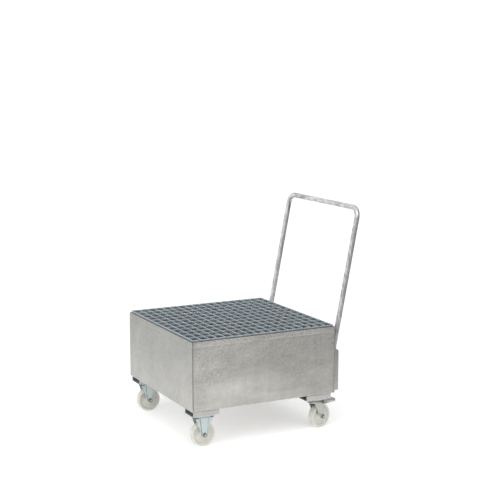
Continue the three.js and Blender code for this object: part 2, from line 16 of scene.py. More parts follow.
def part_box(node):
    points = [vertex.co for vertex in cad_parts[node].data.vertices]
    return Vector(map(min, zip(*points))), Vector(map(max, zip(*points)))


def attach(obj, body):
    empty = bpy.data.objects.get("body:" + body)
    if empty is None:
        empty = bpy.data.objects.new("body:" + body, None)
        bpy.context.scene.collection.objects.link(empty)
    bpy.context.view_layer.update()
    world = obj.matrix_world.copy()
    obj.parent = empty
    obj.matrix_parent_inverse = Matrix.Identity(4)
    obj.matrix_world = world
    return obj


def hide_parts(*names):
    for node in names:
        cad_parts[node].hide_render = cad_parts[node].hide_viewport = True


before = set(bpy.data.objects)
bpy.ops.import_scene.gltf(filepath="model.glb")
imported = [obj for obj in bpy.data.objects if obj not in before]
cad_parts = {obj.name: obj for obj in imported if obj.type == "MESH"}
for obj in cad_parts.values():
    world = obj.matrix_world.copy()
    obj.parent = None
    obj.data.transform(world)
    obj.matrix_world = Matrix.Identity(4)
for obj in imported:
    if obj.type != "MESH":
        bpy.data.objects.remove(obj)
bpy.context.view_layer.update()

MM = 0.001
SIDES = ("left", "right")
WORLD = Matrix.Identity(4)

# ---- camera, light and floor

VIEW_AZIMUTH = radians(26.88)
VIEW_ELEVATION = radians(8.66)
VIEW_TARGET = Vector((-0.030, -0.009, 0.970))
VIEW_DISTANCE = 6.591
LENS_MM = 93.55
SENSOR_MM = 36.0
WHITE = (1.0, 1.0, 1.0)
WHITE_BACKDROP = 1.1
ROOM_DARK_SIDE = (0.50, -0.85, 0.10)
ROOM_SHADES = (0.10, (0.90, 0.92, 0.92)), (0.50, (0.48, 0.49, 0.50)), (0.85, (0.10, 0.10, 0.11))
FLOOR_RADIUS = 1.75
FLOOR_SIDES = 96
FLOOR_COLOUR = (0.80, 0.80, 0.80)
FLOOR_GLOW = 0.36
# Each light: where it points, its strength, its colour and how many degrees wide its disc is.
LIGHTS = {
    "overhead": ((0.04, 0.72, -1.0), 1.95, (1.0, 0.99, 0.98), 74),
    "left_fill": ((0.85, 0.40, -0.60), 0.65, (0.99, 1.0, 1.0), 40),
}


def add_object(name, data):
    made = bpy.data.objects.new(name, data)
    bpy.context.scene.collection.objects.link(made)
    return made


def add_camera():
    data = bpy.data.cameras.new("camera")
    data.lens = LENS_MM
    data.sensor_width = SENSOR_MM
    camera = add_object("camera", data)
    level = cos(VIEW_ELEVATION)
    forward = Vector((sin(VIEW_AZIMUTH) * level, cos(VIEW_AZIMUTH) * level, -sin(VIEW_ELEVATION)))
    camera.location = VIEW_TARGET - forward * VIEW_DISTANCE
    camera.rotation_euler = forward.to_track_quat("-Z", "Y").to_euler()
    bpy.context.scene.camera = camera


def add_world():
    """A pale room, bright on the left and dim behind the camera, which sees it white."""
    world = bpy.data.worlds.new("studio")
    bpy.context.scene.world = world
    world.use_nodes = True
    world.node_tree.nodes.clear()
    room = Paint("studio", world)
    lean = room.node("ShaderNodeVectorMath", room.places["Generated"], ROOM_DARK_SIDE)
    lean.operation = "DOT_PRODUCT"
    share = room.node("ShaderNodeMapRange", Value=lean.outputs["Value"], From_Min=-1.0).outputs[0]
    lit = room.node("ShaderNodeBackground", Color=room.ramp(share, *ROOM_SHADES))
    seen = room.node("ShaderNodeBackground", Color=WHITE, Strength=WHITE_BACKDROP)
    looked_at = room.node("ShaderNodeLightPath").outputs["Is Camera Ray"]
    both = room.node("ShaderNodeMixShader", looked_at, lit.outputs[0], seen.outputs[0])
    room.node("ShaderNodeOutputWorld", both.outputs[0])


def add_floor():
    mesh = bpy.data.meshes.new("floor")
    rim = [(x, y, 0) for x, y in circle(FLOOR_RADIUS, FLOOR_SIDES)]
    mesh.from_pydata(rim, [], [tuple(range(FLOOR_SIDES))])
    mesh.materials.append(Paint("pale_floor").shader_with(
        Base_Color=FLOOR_COLOUR, Roughness=0.95, Specular_IOR_Level=0.1,
        Emission_Color=WHITE, Emission_Strength=FLOOR_GLOW,
    ))
    add_object("floor", mesh)


def add_soft_light(name, towards, strength, colour, spread):
    """A sun with a wide disc, so its shadows are soft everywhere."""
    data = bpy.data.lights.new(name, "SUN")
    data.energy = strength
    data.color = colour
    data.angle = radians(spread)
    add_object(name, data).rotation_euler = Vector(towards).to_track_quat("-Z", "Y").to_euler()


def add_studio():
    bpy.context.scene.view_settings.view_transform = "Standard"
    add_camera()
    add_world()
    add_floor()
    for name, light in LIGHTS.items():
        add_soft_light(name, *light)


# ---- material nodes


class Paint:
    """The nodes of a material, or of a world, with short calls that make and join them.

    Where a call takes a source, that is a socket or a tuple with the settings of a noise.
    """

    def __init__(self, name, owner=None):
        self.owner = owner or bpy.data.materials.new(name)
        self.owner.use_nodes = True
        self.tree = self.owner.node_tree
        self.places = self.node("ShaderNodeTexCoord").outputs
        self.place = self.places["Object"]

    def put(self, socket, value):
        """Links or sets a socket. A colour may leave out its alpha."""
        if isinstance(value, bpy.types.NodeSocket):
            self.tree.links.new(value, socket)
        else:
            socket.default_value = (*value, 1) if socket.type == "RGBA" else value

    def put_named(self, node, values):
        for name, value in values.items():
            self.put(node.inputs[name.replace("_", " ")], value)

    def node(self, kind, *first, **named):
        """A node with inputs set in their order, or by name with _ for a space."""
        made = self.tree.nodes.new(kind)
        for socket, value in zip(made.inputs, first):
            self.put(socket, value)
        self.put_named(made, named)
        return made

    def field(self, source):
        return self.noise(*source) if isinstance(source, tuple) else source

    def ramp(self, source, *stops):
        made = self.node("ShaderNodeValToRGB", self.field(source))
        elements = made.color_ramp.elements
        while len(elements) < len(stops):
            elements.new(0.5)
        for element, (position, shade) in zip(elements, stops):
            element.position = position
            element.color = (*(shade if isinstance(shade, tuple) else [shade] * 3), 1)
        return made.outputs["Color"]

    def noise(self, scale, detail, rough=0.55, distort=0.0):
        """Noise with scale grains per metre, or with a scale of its own along each axis."""
        place = self.place
        if isinstance(scale, tuple):
            place = self.node("ShaderNodeMapping", Vector=place, Scale=scale).outputs[0]
            scale = 1.0
        settings = {"Scale": scale, "Detail": detail, "Roughness": rough, "Distortion": distort}
        return self.node("ShaderNodeTexNoise", Vector=place, **settings).outputs["Fac"]

    def grey(self, colour):
        return self.node("ShaderNodeRGBToBW", colour).outputs[0]

    def spangle(self, scale, darkest):
        """Zinc crystals: cells that each have one shade."""
        cells = self.node("ShaderNodeTexVoronoi", Vector=self.place, Scale=scale).outputs["Color"]
        return self.ramp(self.grey(cells), (0.0, darkest), (1.0, 1.0))

    def coordinate(self, axis):
        return self.node("ShaderNodeSeparateXYZ", self.place).outputs[axis]

    def mix(self, share, first, second, blend="MIX"):
        made = self.tree.nodes.new("ShaderNodeMix")
        made.data_type = "RGBA"
        made.blend_type = blend
        for socket, value in ((0, share), (6, first), (7, second)):
            self.put(made.inputs[socket], value)
        return made.outputs[2]

    def shaded(self, colour, layer, share=1.0):
        return self.mix(share, colour, layer, "MULTIPLY")

    def maths(self, operation, *values):
        made = self.node("ShaderNodeMath", *values)
        made.operation = operation
        return made.outputs[0]

    def plus(self, base, value, times=1.0):
        return self.maths("MULTIPLY_ADD", value, times, base)

    def corners(self, reach):
        """Painted shade: dark in the inner corners of its own mesh, by ambient occlusion, and 1 on the
        open faces.
        """
        made = self.node("ShaderNodeAmbientOcclusion", Distance=reach)
        made.samples = 6
        made.only_local = True
        return self.ramp(made.outputs["AO"], (0.60, 0.12), (0.93, 1.0))

    def finish(self, colour, metallic, rough, *dents, **others):
        """rough is a source and its two ends; a dent is a source, its strength and its depth."""
        normal = {}
        for source, strength, depth in dents:
            values = {"Height": self.field(source), "Strength": strength, "Distance": depth, **normal}
            normal = {"Normal": self.node("ShaderNodeBump", **values).outputs[0]}
        source, low, high = rough
        roughness = self.node("ShaderNodeMapRange", self.field(source), To_Min=low, To_Max=high)
        base = {"Base Color": colour, "Metallic": metallic, "Roughness": roughness.outputs[0]}
        return self.shader_with(**base, **normal, **others)

    def shader_with(self, **values):
        self.put_named(self.tree.nodes["Principled BSDF"], values)
        return self.owner


PATCHES_ABOVE = 0.40
# Painted light from the floor: the sheet is kept paler low down and darkened to this share higher up.
UPPER_PAINTED_SHADE = 0.93
# The mask and colour of the painted shade inside the bracket channels, standing in for the shade there.
CHANNEL_HALF_INSIDE = 0.0476
CHANNEL_FLOOR = 0.0022
CHANNEL_PAINTED_SHADE = (0.300, 0.360, 0.375)
# Painted shade for the grating's outer end faces, and how far in it reaches.
END_FACE_PAINTED_SHADE = (0.440, 0.490, 0.530)
EDGE_DEPTH = 0.0012


def scaled(tint, by):
    return tuple(by * channel for channel in tint)


def galvanised_sheet(name, tint, painted_falloff, cloud=(3.2, 3.2, 3.2), shade=0.86, painted_shade_inside=False):
    """Dull hot-dip zinc: cloudy patches, grain, spangle and run marks, with painted shade and painted
    light.

    The third argument is how much darker painted shade makes the +X end than the -X end, and cloud
    how many clouds there are per metre along each axis, the darkest of them shade times the tint.
    Painted light from the floor leaves the lower sheet paler. When asked for, the inside of a channel
    gets painted shade: a dark colour in place of the shade that falls there.
    """
    paint = Paint(name)
    height = paint.coordinate("Z")
    clouds = paint.ramp((cloud, 5.0, 0.6, 0.6), (0.34, scaled(tint, shade)), (0.66, scaled(tint, 1.05)))
    patches = paint.plus(paint.noise(3.4, 5.0, 0.6, 1.0), paint.plus(-PATCHES_ABOVE, height), 0.9)
    patches = paint.grey(paint.ramp(patches, (0.36, 0.0), (0.60, 1.0)))
    grain = paint.ramp((170.0, 6.0, 0.74), (0.38, 0.64), (0.56, 1.03))
    mottle = paint.ramp((42.0, 8.0, 0.74), (0.32, 0.80), (0.62, 1.0))
    runs = paint.ramp(((60, 60, 2.0), 5.0, 0.6), (0.35, 0.90), (0.65, 1.0))
    rolled = paint.ramp(((5, 5, 150), 4.0, 0.6), (0.35, 0.93), (0.65, 1.0))
    # Painted shade: a gradient that darkens the sheet towards +X, and a little towards the bottom.
    along = paint.plus(paint.coordinate("X"), paint.noise(3.4, 4.0), 0.30)
    drift = paint.plus(0.58, paint.plus(along, height, -0.5))
    drift = paint.ramp(drift, (0.0, 1.0), (0.90, 1.0 - painted_falloff))
    # Painted light from the bright floor: paler low down, a little darker higher up.
    foot = paint.plus(height, paint.noise(4.0, 4.0), 0.16)
    foot = paint.ramp(foot, (0.33, 1.0), (0.46, UPPER_PAINTED_SHADE))
    colour = paint.shaded(clouds, mottle, 0.55)
    colour = paint.mix(patches, colour, paint.shaded(colour, grain))
    spangle = paint.spangle(70.0, 0.93)
    for layer, share in ((spangle, 0.9), (runs, 0.6), (rolled, 0.7), (drift, 1.0), (foot, 1.0)):
        colour = paint.shaded(colour, layer, share)
    # Painted shade inside the channel: its inner faces take a dark colour in place of the shade that falls
    # there.
    if painted_shade_inside:
        across = paint.maths("ABSOLUTE", paint.coordinate("Y"))
        inside = paint.maths("LESS_THAN", across, CHANNEL_HALF_INSIDE)
        inside = paint.maths("MULTIPLY", inside, paint.maths("GREATER_THAN", height, CHANNEL_FLOOR))
        colour = paint.mix(inside, colour, CHANNEL_PAINTED_SHADE)
    rough = ((9.0, 6.0, 0.65), 0.40, 0.62)
    grit = ((420.0, 3.0, 0.6), 0.12, 0.0004)
    return paint.finish(colour, 0.48, rough, grit, ((24.0, 5.0, 0.6), 0.14, 0.0010))


def galvanised_grating():
    """Dipped bars: cool grey, with painted shade down their sides and on the outer faces at the ends."""
    paint = Paint("galvanised_grating")
    low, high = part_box("grating")
    middle = (low.x + high.x) / 2
    pale, palest = (0.730, 0.825, 0.890), (0.910, 0.980, 1.000)
    colour = paint.ramp((22.0, 6.0, 0.65, 0.4), (0.30, pale), (0.70, palest))
    # Painted shade: the bars darken with depth below their tops, standing in for the shade inside the
    # cells.
    depth = paint.maths("SUBTRACT", high.z, paint.coordinate("Z"))
    depth = paint.maths("MULTIPLY", depth, 50.0)
    dull = paint.ramp(depth, (0.02, 1.0), (0.12, 0.92), (0.32, 0.72), (0.52, 0.46))
    colour = paint.shaded(paint.shaded(colour, paint.spangle(160.0, 0.86)), dull)
    # Painted shade on the outer faces at both X ends, toning down their highlight.
    from_middle = paint.maths("ABSOLUTE", paint.maths("SUBTRACT", paint.coordinate("X"), middle))
    painted_end_faces = paint.maths("GREATER_THAN", from_middle, high.x - middle - EDGE_DEPTH)
    colour = paint.mix(painted_end_faces, colour, END_FACE_PAINTED_SHADE)
    rough = ((40.0, 4.0, 0.6), 0.32, 0.55)
    return paint.finish(colour, 0.86, rough, ((260.0, 4.0, 0.6), 0.22, 0.0006))


def galvanised_tube():
    """Bright zinc on round tube, with long drawn flakes of duller metal."""
    paint = Paint("galvanised_tube")
    flakes = paint.noise((75, 8, 9), 6.0, 0.7, 1.2)
    colour = paint.ramp(flakes, (0.38, (0.37, 0.37, 0.37)), (0.58, (0.82, 0.82, 0.80)))
    colour = paint.shaded(colour, paint.ramp((90.0, 5.0, 0.7), (0.30, 0.78), (0.48, 1.0)), 0.8)
    return paint.finish(colour, 0.64, (flakes, 0.50, 0.27), (flakes, 0.18, 0.0008))


def zinc_pressing(name, tint):
    """Passivated zinc plate on pressed steel: thin film, soft draw lines, and painted shade in the
    corners.
    """
    paint = Paint(name)
    film = paint.ramp((26.0, 5.0, 0.6, 0.8), (0.25, scaled(tint, 0.78)), (0.78, tint))
    lines = paint.ramp(((240, 240, 16), 4.0, 0.6), (0.30, 0.88), (0.70, 1.0))
    # Painted shade darkens the inner corners, such as beside each leg's rib.
    colour = paint.shaded(paint.shaded(film, lines, 0.8), paint.corners(0.006))
    rough = ((60.0, 5.0, 0.6), 0.24, 0.44)
    return paint.finish(colour, 0.62, rough, ((300.0, 3.0, 0.5), 0.10, 0.0003))


def nylon():
    """Cream cast polyamide: slightly waxy, faint flow clouds and scuffs on the tread."""
    paint = Paint("nylon")
    deep, pale = (0.600, 0.592, 0.532), (0.695, 0.688, 0.630)
    colour = paint.ramp((16.0, 4.0, 0.6, 0.5), (0.30, deep), (0.70, pale))
    colour = paint.shaded(colour, paint.ramp((140.0, 6.0, 0.75), (0.28, 0.84), (0.42, 1.0)), 0.5)
    rough = ((70.0, 5.0, 0.6), 0.36, 0.52)
    waxy = {"Subsurface_Weight": 0.12, "Subsurface_Scale": 0.004, "IOR": 1.53}
    return paint.finish(colour, 0.0, rough, ((220.0, 4.0, 0.6), 0.08, 0.0004), **waxy)


def grained(name, grain, dark, light, metallic, rough, dents):
    """One kind of grain from dark to light, with its own roughness and dents."""
    paint = Paint(name)
    return paint.finish(paint.ramp(grain, (0.30, dark), (0.70, light)), metallic, rough, dents)


def steel_fastener():
    """Dulled zinc-plated bolts, nuts and pins, darker in the pits."""
    dark, light = (0.060, 0.070, 0.074), (0.260, 0.280, 0.285)
    rough, dents = ((240.0, 4.0, 0.6), 0.28, 0.50), ((700.0, 2.0, 0.5), 0.15, 0.0002)
    return grained("steel_fastener", (180.0, 5.0, 0.7), dark, light, 0.85, rough, dents)


def weld_metal():
    """Galvanised weld bead: rough, a little darker than the sheet."""
    dark, light = (0.270, 0.265, 0.250), (0.420, 0.410, 0.390)
    rough, dents = ((160.0, 4.0, 0.6), 0.45, 0.65), ((500.0, 3.0, 0.6), 0.30, 0.0006)
    return grained("weld_metal", (120.0, 5.0, 0.7), dark, light, 0.60, rough, dents)


def brake_lining():
    """Dark moulded brake lining with a coarse grain."""
    dark, light = (0.035, 0.036, 0.038), (0.085, 0.086, 0.088)
    rough, dents = ((200.0, 3.0, 0.6), 0.62, 0.82), ((600.0, 3.0, 0.6), 0.35, 0.0004)
    return grained("brake_lining", (300.0, 4.0, 0.7), dark, light, 0.0, rough, dents)


ZINC = "galvanised_sheet"
SHEET_TINT = (0.572, 0.561, 0.531)
FOLDED_TINT = (0.826, 0.804, 0.754)
CHANNEL_TINT = (0.660, 0.655, 0.630)
BLUE_ZINC = (0.670, 0.745, 0.755)
GREY_ZINC = (0.600, 0.600, 0.562)
FOLDED_CLOUDS = {"cloud": (2.3, 2.3, 6.5), "shade": 0.76}
# Each finish: its material, and the slot that its pieces fill.
FINISHES = {
    # The third value of each sheet is how much painted shade darkens its +X end.
    "sheet": (galvanised_sheet(ZINC, SHEET_TINT, 0.03), ZINC),
    "folded": (galvanised_sheet("galvanised_folded_sheet", FOLDED_TINT, 0.29, **FOLDED_CLOUDS), ZINC),
    # The channel's finish has painted shade inside it.
    "channel": (galvanised_sheet("galvanised_channel", CHANNEL_TINT, 0.0, painted_shade_inside=True), ZINC),
    "grating": (galvanised_grating(), "galvanised_grating"),
    "tube": (galvanised_tube(), "galvanised_tube"),
    "zinc": (zinc_pressing("zinc_blue_pressing", BLUE_ZINC), "zinc_pressing"),
    "dull": (zinc_pressing("zinc_grey_pressing", GREY_ZINC), "zinc_pressing"),
    "nylon": (nylon(), "nylon"),
    "steel": (steel_fastener(), "steel_fastener"),
    "weld": (weld_metal(), ZINC),
    "lining": (brake_lining(), "brake_lining"),
}

# ---- mesh helpers (millimetres)

BEVEL_SEGMENTS = 2
MERGE_DISTANCE = 1e-7


def piece(name, shape, place, finish, body, *nodes, **rounding):
    """A piece from (points, faces), set at place, riding on body, standing for nodes."""
    points, faces = shape
    mesh = bpy.data.meshes.new(name)
    mesh.from_pydata([Vector(p) * MM for p in points], [], faces)
    mesh.validate()
    solid = bmesh.new()
    solid.from_mesh(mesh)
    bmesh.ops.remove_doubles(solid, verts=solid.verts, dist=MERGE_DISTANCE)
    bmesh.ops.recalc_face_normals(solid, faces=solid.faces)
    solid.to_mesh(mesh)
    solid.free()
    dress(name, mesh, place, finish, body, *nodes, **rounding)


def dress(name, mesh, place, finish, body, *nodes, bevel=0.0, sharp=35.0):
    """A mesh's object, with smooth shading, rounded edges, material and body."""
    mesh.polygons.foreach_set("use_smooth", [True] * len(mesh.polygons))
    material, slot = FINISHES[finish]
    mesh.materials.append(material)
    made = add_object(name, mesh)
    made.matrix_world = place
    if bevel:
        rounding = made.modifiers.new("rounded_edges", "BEVEL")
        rounding.width = bevel * MM
        rounding.segments = BEVEL_SEGMENTS
        rounding.limit_method = "ANGLE"
        rounding.angle_limit = radians(sharp)
        rounding.use_clamp_overlap = True
        made.modifiers.new("even_normals", "WEIGHTED_NORMAL").weight = 100
    else:
        mesh.set_sharp_from_angle(angle=radians(sharp))
    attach(made, body)
    if nodes:
        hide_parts(*nodes)


def joined(*shapes):
    points, faces = [], []
    for shape_points, shape_faces in shapes:
        base = len(points)
        points.extend(shape_points)
        faces.extend(tuple(base + i for i in face) for face in shape_faces)
    return points, faces


def moved(shape, offset):
    points, faces = shape
    return [tuple(a + b for a, b in zip(p, offset)) for p in points], faces


def upright(shape):
    """Turns a shape that was drawn about Y so that it stands about Z."""
    points, faces = shape
    return [tuple(UPRIGHT @ Vector(p)) for p in points], faces


UPRIGHT = Matrix.Rotation(radians(90), 3, "X")


def skin(rows, columns, around=False):
    """Four-sided faces over rows of points, which go around or have two ends."""
    faces = []
    for i, j in product(range(rows - 1), range(columns if around else columns - 1)):
        here, beside = i * columns + j, i * columns + (j + 1) % columns
        faces.append((here, beside, beside + columns, here + columns))
    return faces


def capped_skin(rows, columns):
    """The faces of a body made of rings, with a cap at each end."""
    caps = [tuple(range(columns))[::-1], tuple(range((rows - 1) * columns, rows * columns))]
    return skin(rows, columns, around=True) + caps


def closed_sheet(pairs):
    """A closed body from rows of (front, back) pairs of points."""
    rows, columns = len(pairs), len(pairs[0])
    offset = rows * columns
    faces = skin(rows, columns)
    faces += [tuple(offset + i for i in reversed(face)) for face in faces]
    rim = list(range(columns)) + [i * columns + columns - 1 for i in range(1, rows)]
    rim += [(rows - 1) * columns + j for j in range(columns - 2, -1, -1)]
    rim += [i * columns for i in range(rows - 2, 0, -1)]
    for here, there in zip(rim, rim[1:] + rim[:1]):
        faces.append((there, here, offset + here, offset + there))
    return [pair[k] for k in (0, 1) for row in pairs for pair in row], faces


def thickened(grid, thickness):
    """A sheet of even thickness around a grid of middle-surface points."""
    grid = [[Vector(point) for point in row] for row in grid]
    pairs = []
    for i, row in enumerate(grid):
        before, after = grid[max(i - 1, 0)], grid[min(i + 1, len(grid) - 1)]
        pairs.append([])
        for j, point in enumerate(row):
            across = row[min(j + 1, len(row) - 1)] - row[max(j - 1, 0)]
            half = (after[j] - before[j]).cross(across).normalized() * thickness / 2
            pairs[-1].append((point + half, point - half))
    return closed_sheet(pairs)


def steps(low, high, spacing):
    count = max(1, ceil(abs(high - low) / spacing))
    return [low + (high - low) * i / count for i in range(count + 1)]


def rounded_path(corners, radius, spacing, arc_steps=6):
    """Points along a polyline with rounded corners, no further apart than spacing."""
    corners = [Vector(c) for c in corners]
    radii = radius if isinstance(radius, list) else [radius] * (len(corners) - 2)
    bends = [corners[0]]
    for before, corner, after, r in zip(corners, corners[1:], corners[2:], radii):
        back, ahead = (before - corner).normalized(), (after - corner).normalized()
        half = back.angle(ahead) / 2
        centre = corner + (back + ahead).normalized() * (r / sin(half))
        run = r / tan(half)
        start, end = corner + back * run - centre, corner + ahead * run - centre
        turn = start.angle(end)
        for t in steps(0, 1, 1 / arc_steps):
            bends.append(centre + (start * sin((1 - t) * turn) + end * sin(t * turn)) / sin(turn))
    bends.append(corners[-1])
    path = bends[:1]
    for here, there in zip(bends, bends[1:]):
        path += [here.lerp(there, t) for t in steps(0, 1, spacing / (there - here).length)[1:]]
    return path


def circle(radius, sides, centre=(0.0, 0.0)):
    return arc_points(centre, radius, 0, 360, sides)[:-1]


def lathe(profile, segments=64):
    """Revolves (radius, height) points about Y. A profile off the axis closes on itself."""
    if profile[0][0] > 0:
        profile = profile + profile[:1]
    ring = circle(1.0, segments)
    points = [(radius * v, height, radius * u) for radius, height in profile for u, v in ring]
    return points, skin(len(profile), segments, around=True)


def arc_points(centre, radius, start, end, count):
    """(u, v) points on an arc, angles in degrees."""
    angles = [radians(start + (end - start) * i / count) for i in range(count + 1)]
    return [(centre[0] + radius * cos(a), centre[1] + radius * sin(a)) for a in angles]


def sweep(path, rings):
    """A closed body along path, from one ring of (u, v) points a station."""
    path = [Vector(p) for p in path]
    last = len(path) - 1
    tangents = [(path[min(i + 1, last)] - path[max(i - 1, 0)]).normalized() for i in range(last + 1)]
    side = tangents[0].orthogonal().normalized()
    points = []
    for centre, tangent, ring in zip(path, tangents, rings):
        side = (side - tangent * side.dot(tangent)).normalized()
        up = tangent.cross(side)
        points.extend(tuple(centre + side * u + up * v) for u, v in ring)
    return points, capped_skin(len(path), len(rings[0]))


def hollow_tube(path, outer, inner, sides):
    """A tube with a bore: one skin that runs along path and back inside it."""
    outside, bore = (sweep(path, [circle(r, sides)] * len(path))[0] for r in (outer, inner))
    points = outside[:]
    for start in reversed(range(0, len(bore), sides)):
        points += bore[start:start + sides]
    return points + outside[:sides], skin(2 * len(path) + 1, sides, around=True)


def prism(outline, low, high):
    """A straight prism along Y of an (x, z) outline."""
    points = [(x, y, z) for y in (low, high) for x, z in outline]
    return points, capped_skin(2, len(outline))


def rounded_rectangle(length, width, radius, corner_steps=5):
    x, y = length / 2 - radius, width / 2 - radius
    points = []
    for k, centre in enumerate(((x, y), (-x, y), (-x, -y), (x, -y))):
        points += arc_points(centre, radius, 90 * k, 90 * k + 90, corner_steps)
    return points


def plate(outline, holes, low, high):
    """A flat plate along Z with holes, filled by a 2D curve."""
    curve = bpy.data.curves.new("plate", "CURVE")
    curve.dimensions = "2D"
    curve.fill_mode = "BOTH"
    curve.extrude = (high - low) / 2 * MM
    for loop in [outline, *holes]:
        spline = curve.splines.new("POLY")
        spline.points.add(len(loop) - 1)
        for point, (u, v) in zip(spline.points, loop):
            point.co = (u * MM, v * MM, 0, 1)
        spline.use_cyclic_u = True
    holder = add_object("plate", curve)
    bpy.context.view_layer.update()
    evaluated = holder.evaluated_get(bpy.context.evaluated_depsgraph_get())
    mesh = bpy.data.meshes.new_from_object(evaluated)
    middle = (low + high) / 2
    points = [(v.co.x / MM, v.co.y / MM, v.co.z / MM + middle) for v in mesh.vertices]
    faces = [tuple(p.vertices) for p in mesh.polygons]
    bpy.data.objects.remove(holder)
    bpy.data.curves.remove(curve)
    bpy.data.meshes.remove(mesh)
    return points, faces


def hexagon(across_flats, low, high, chamfer, segments=48):
    """A hexagonal head or nut along Y, its corners turned off at the outer end."""
    inner = across_flats / 2
    corner = across_flats / sqrt(3)
    back = copysign(chamfer, low - high)
    sixth = pi / 3
    rings = (
        (low, corner),
        (high + back, corner),
        (high + back * 0.35, inner + (corner - inner) * 0.45),
        (high, inner * 0.97),
    )
    points = []
    for height, cap in rings:
        for u, v in circle(1.0, segments):
            around = (atan2(v, u) + sixth / 2) % sixth - sixth / 2
            radius = min(inner / cos(around), cap)
            points.append((radius * v, height, radius * u))
    return points, capped_skin(len(rings), segments)


def threaded_end(radius, low, high, pitch=1.5, depth=0.75):
    """A bolt's thread along Y: a fine saw-tooth profile with a chamfered tip."""
    profile = [(0, low), (radius, low)]
    sign = copysign(1, high - low)
    for k in range(int(abs(high - low) / pitch) - 1):
        profile.append((radius - depth, low + sign * (k + 0.5) * pitch))
        profile.append((radius, low + sign * (k + 1.0) * pitch))
    return lathe(profile + [(radius - 1.2, high), (0, high)], 32)


def weld_bead(start, end, radius, seed, pitch=3.2):
    """A rippled bead along a straight seam."""
    start, end = Vector(start), Vector(end)
    length = (end - start).length
    dice = random.Random(seed)
    stations, rings = [], []
    drift = 0.0
    for s in steps(0, length, pitch / 3):
        drift = 0.85 * drift + 0.15 * dice.uniform(-1, 1)
        fade = min(1.0, (s + 0.6) / 4, (length - s + 0.6) / 4)
        ripple = 1 + 0.10 * cos(2 * pi * s / pitch) + 0.25 * drift
        stations.append(start.lerp(end, s / length))
        rings.append(circle(radius * ripple * max(0.35, fade ** 0.5), 8))
    return sweep(stations, rings)


def smooth(t):
    t = max(0.0, min(1.0, t))
    return t * t * (3 - 2 * t)


# ---- sizes read from the frame


def node_box(name):
    """A node's lowest and highest corners in millimetres."""
    low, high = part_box(name)
    return low / MM, high / MM


def face_middle(name, top=True):
    """The middle of the top or bottom face of a node's box, in metres."""
    low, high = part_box(name)
    return Vector(((low.x + high.x) / 2, (low.y + high.y) / 2, high.z if top else low.z))


SHELL_LOW, SHELL_HIGH = node_box("sump_shell")
FRONT_LOW, FRONT_HIGH = node_box("end_wall_front")
REAR_LOW, REAR_HIGH = node_box("end_wall_rear")
GRATING_LOW, GRATING_HIGH = node_box("grating")
SHEET = FRONT_HIGH.x - FRONT_LOW.x
RIM = SHELL_HIGH.z
TRAY_BOTTOM = SHELL_LOW.z
HALF_WIDTH = SHELL_HIGH.y

# ---- tray

SHELL_BEND = 6.0
SHELL_FOOT = 40.0
SEAM_GAP = 2.8
WALL_SPACING = 26.0
DENT_MARGIN = 70.0
LEDGE_WELD = 28.0
LEDGE_WELD_DEPTH = 1.3
LEDGE_WELD_SPREAD = 4.5
LEDGE_ROOT = 3.0
CORNER_BEAD = 2.4
BEAD_SINK = 1.3


def dent(u, v, span_u, span_v, seed):
    """The waviness of a large sheet, in millimetres inwards; none along its edges."""
    hold = 1.0
    for value, (low, high) in ((u, span_u), (v, span_v)):
        hold *= max(0.0, min(1.0, (value - low) / DENT_MARGIN, (high - value) / DENT_MARGIN))
    wave = noise.noise(Vector((u * 0.0042, v * 0.0060, seed)))
    return hold * (0.7 + 0.9 * wave)


def seam_dent(z):
    """The slight draw-in of the sheet along the weld of the inner ledge."""
    return LEDGE_WELD_DEPTH * exp(-(((RIM - LEDGE_WELD - z) / LEDGE_WELD_SPREAD) ** 2))


def wall_levels():
    """Heights for the rows of a wall, close together at the ledge weld."""
    low, high = RIM - LEDGE_WELD - 20, RIM - LEDGE_WELD + 18
    return steps(TRAY_BOTTOM, low, 24) + steps(low, high, 3.5)[1:] + [RIM]


def sump_shell():
    middle = SHEET / 2
    y, bottom, foot = HALF_WIDTH - middle, TRAY_BOTTOM + middle, TRAY_BOTTOM + SHELL_FOOT
    corners = [(-y, 0, foot), (-y, 0, bottom), (y, 0, bottom), (y, 0, foot)]
    left = [Vector((-y, 0, level)) for level in reversed(wall_levels()) if level > foot + 1]
    right = [Vector((y, 0, point.z)) for point in reversed(left)]
    grid = []
    for point in left + rounded_path(corners, SHELL_BEND - middle, 60) + right:
        row = []
        for x in steps(SHELL_LOW.x + SEAM_GAP, SHELL_HIGH.x - SEAM_GAP, WALL_SPACING):
            pull = 0.0
            if abs(point.x) > y - 0.01:
                pull = dent(x, point.z, (SHELL_LOW.x, SHELL_HIGH.x), (TRAY_BOTTOM, RIM), point.x)
                pull += seam_dent(point.z)
            row.append((x, point.x - copysign(pull, point.x), point.z))
        grid.append(row)
    return thickened(grid, SHEET)


def end_wall(low, high, inward):
    spans = (low.y, high.y), (low.z, high.z)

    def surface(y, z):
        return (low.x + high.x) / 2 + inward * (dent(y, z, *spans, low.x) + seam_dent(z)), y, z

    across = steps(low.y, high.y, WALL_SPACING)
    return thickened([[surface(y, z) for y in across] for z in wall_levels()], SHEET)


def ledge(name):
    """An angle with a rounded root, its flat leg on top, drawn from the node's box."""
    low, high = node_box(name)
    along, across = (0, 1) if high.x - low.x > high.y - low.y else (1, 0)
    wall, tip = low[across], high[across]
    if wall + tip > SHELL_LOW[across] + SHELL_HIGH[across]:
        wall, tip = tip, wall
    back = wall + copysign(SHEET / 2, tip - wall)
    top = high.z - SHEET / 2
    grid = []
    for point in rounded_path([(back, 0, low.z), (back, 0, top), (tip, 0, top)], LEDGE_ROOT, 40, 4):
        runs = steps(low[along], high[along], 90)
        grid.append([(s, point.x, point.z) if along == 0 else (point.x, s, point.z) for s in runs])
    return thickened(grid, SHEET)


